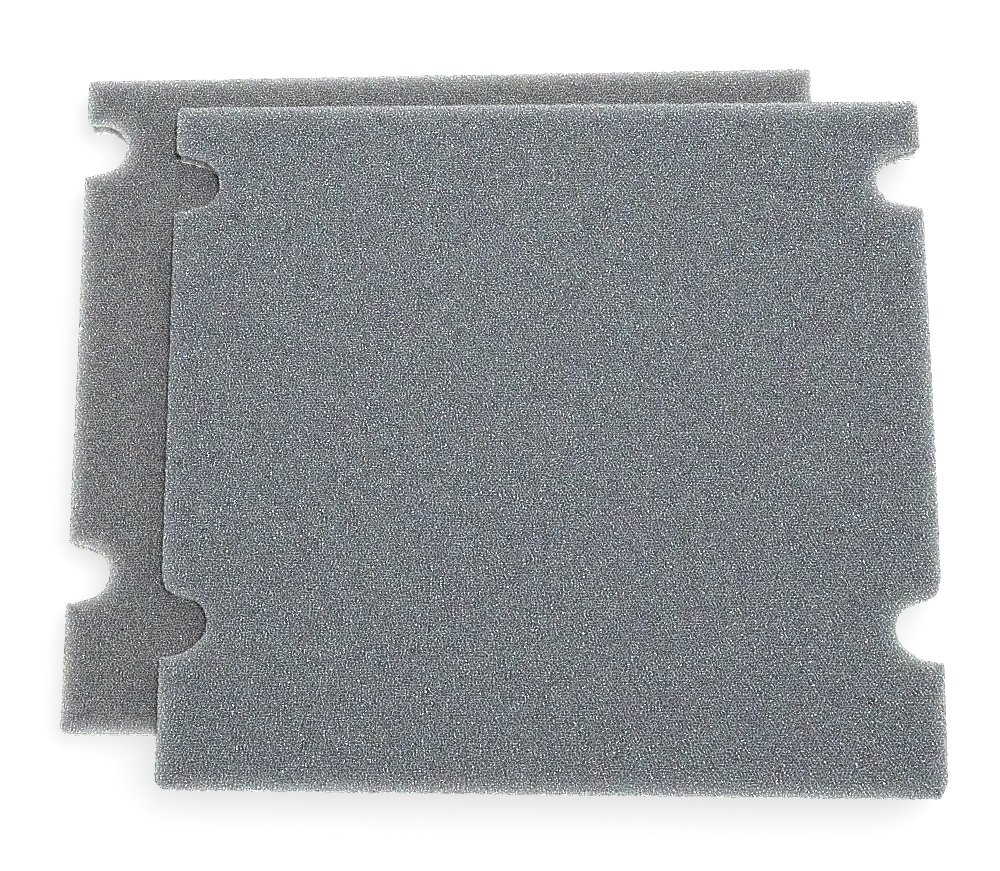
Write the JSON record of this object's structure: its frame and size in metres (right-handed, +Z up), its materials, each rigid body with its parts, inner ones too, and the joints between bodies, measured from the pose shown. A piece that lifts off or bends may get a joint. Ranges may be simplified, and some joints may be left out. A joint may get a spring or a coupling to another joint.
{
  "type": "foam air filter pad set",
  "caption": "Flat grey open-cell foam air filter pads, near square with round-ended notches in two sides, one lying askew on the other.",
  "frame": {"origin": "middle of the lower pad's underside, on the surface the pads rest on", "axes": "+Z up through the sheets' thickness, +X across the pads to the side with the upper pad's overhang, +Y to the pads' far end, from which the notches are counted"},
  "size_m": [0.2123, 0.1849, 0.013],
  "materials": {
    "lower_foam": "matte",
    "upper_foam": "matte"
  },
  "bodies": {
    "lower_pad": {"lower_filter_pad": "lower_foam"},
    "upper_pad": {"upper_filter_pad": "upper_foam"}
  },
  "joints": [
    {"name": "upper_pad_lift", "type": "slide", "parent": "lower_pad", "child": "upper_pad", "axis": [0, 0, 1], "range_m": [0, 0.06]}
  ]
}
